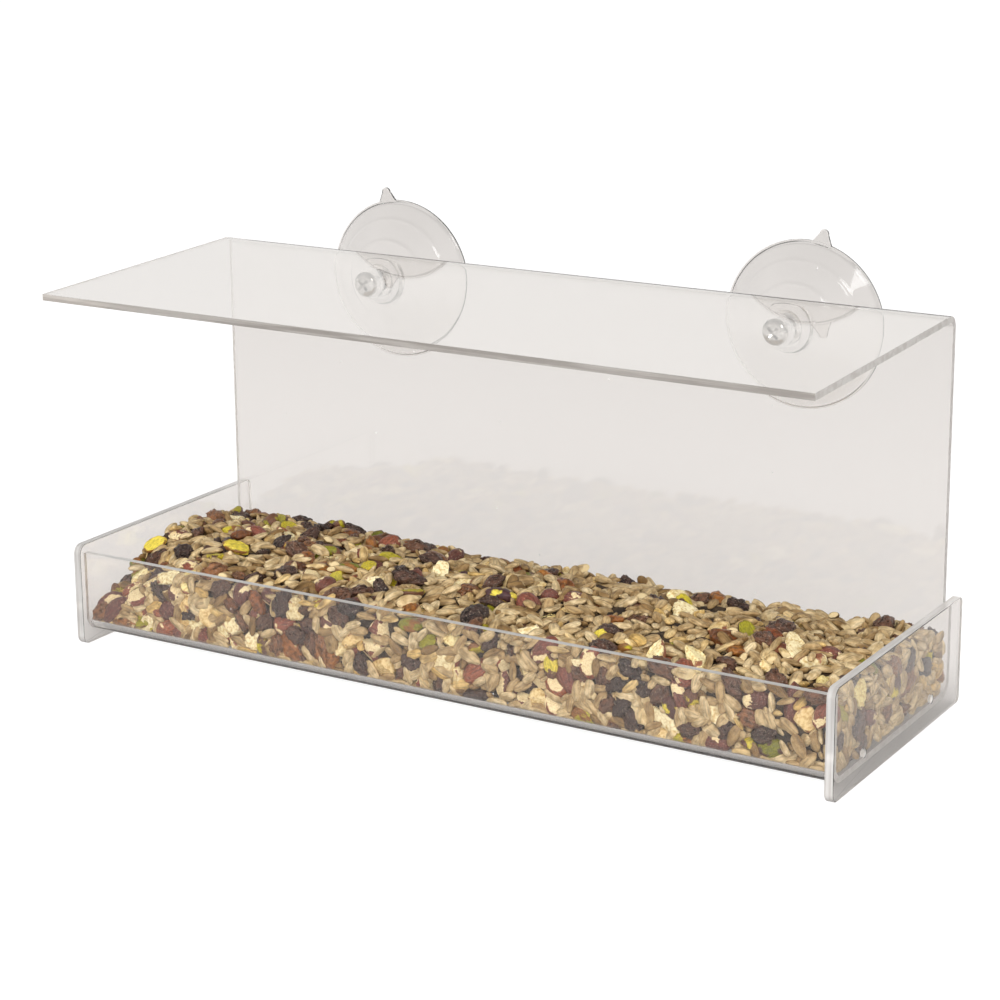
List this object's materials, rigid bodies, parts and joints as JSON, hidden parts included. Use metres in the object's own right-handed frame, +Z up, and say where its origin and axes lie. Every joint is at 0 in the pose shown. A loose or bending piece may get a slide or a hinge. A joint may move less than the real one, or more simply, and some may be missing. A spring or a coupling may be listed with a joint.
{
  "type": "window bird feeder",
  "caption": "Clear acrylic window bird feeder: a bent sheet forms roof, back, tray and lip between low end panels, held to glass by suction cups on screws.",
  "frame": {"origin": "middle of the feeder's width and of its whole depth, from the roof's front edge to the suction cups' rims, at the height of the end panels' bottom edges", "axes": "+X along the tray to the right as a bird facing the window sees it, +Y towards the window, +Z up"},
  "size_m": [0.388, 0.17, 0.2024],
  "materials": {
    "clear_acrylic": "clear cast acrylic, polished faces, finely sanded cut edges",
    "clear_vinyl": "clear soft vinyl, glossy",
    "chrome_steel": "bright nickel or chrome plate on steel",
    "seed_mix": "loose dry seed, nuts and dried fruit"
  },
  "bodies": {
    "feeder": {"bent_sheet": "clear_acrylic", "left_end_panel": "clear_acrylic", "right_end_panel": "clear_acrylic", "seed_mix": "seed_mix"},
    "left_cup": {"left_suction_cup": "clear_vinyl"},
    "right_cup": {"right_suction_cup": "clear_vinyl"},
    "left_screw": {"left_cup_screw": "chrome_steel"},
    "right_screw": {"right_cup_screw": "chrome_steel"}
  },
  "joints": [
    {"name": "left_cup_swivel", "type": "hinge", "parent": "feeder", "child": "left_cup", "pos_m": [-0.108, 0.06, 0.158], "axis": [0, 1, 0], "continuous": true},
    {"name": "right_cup_swivel", "type": "hinge", "parent": "feeder", "child": "right_cup", "pos_m": [0.108, 0.06, 0.158], "axis": [0, 1, 0], "continuous": true},
    {"name": "left_screw_out", "type": "slide", "parent": "feeder", "child": "left_screw", "axis": [0, -1, 0], "range_m": [0, 0.01]},
    {"name": "right_screw_out", "type": "slide", "parent": "feeder", "child": "right_screw", "axis": [0, -1, 0], "range_m": [0, 0.01]}
  ]
}
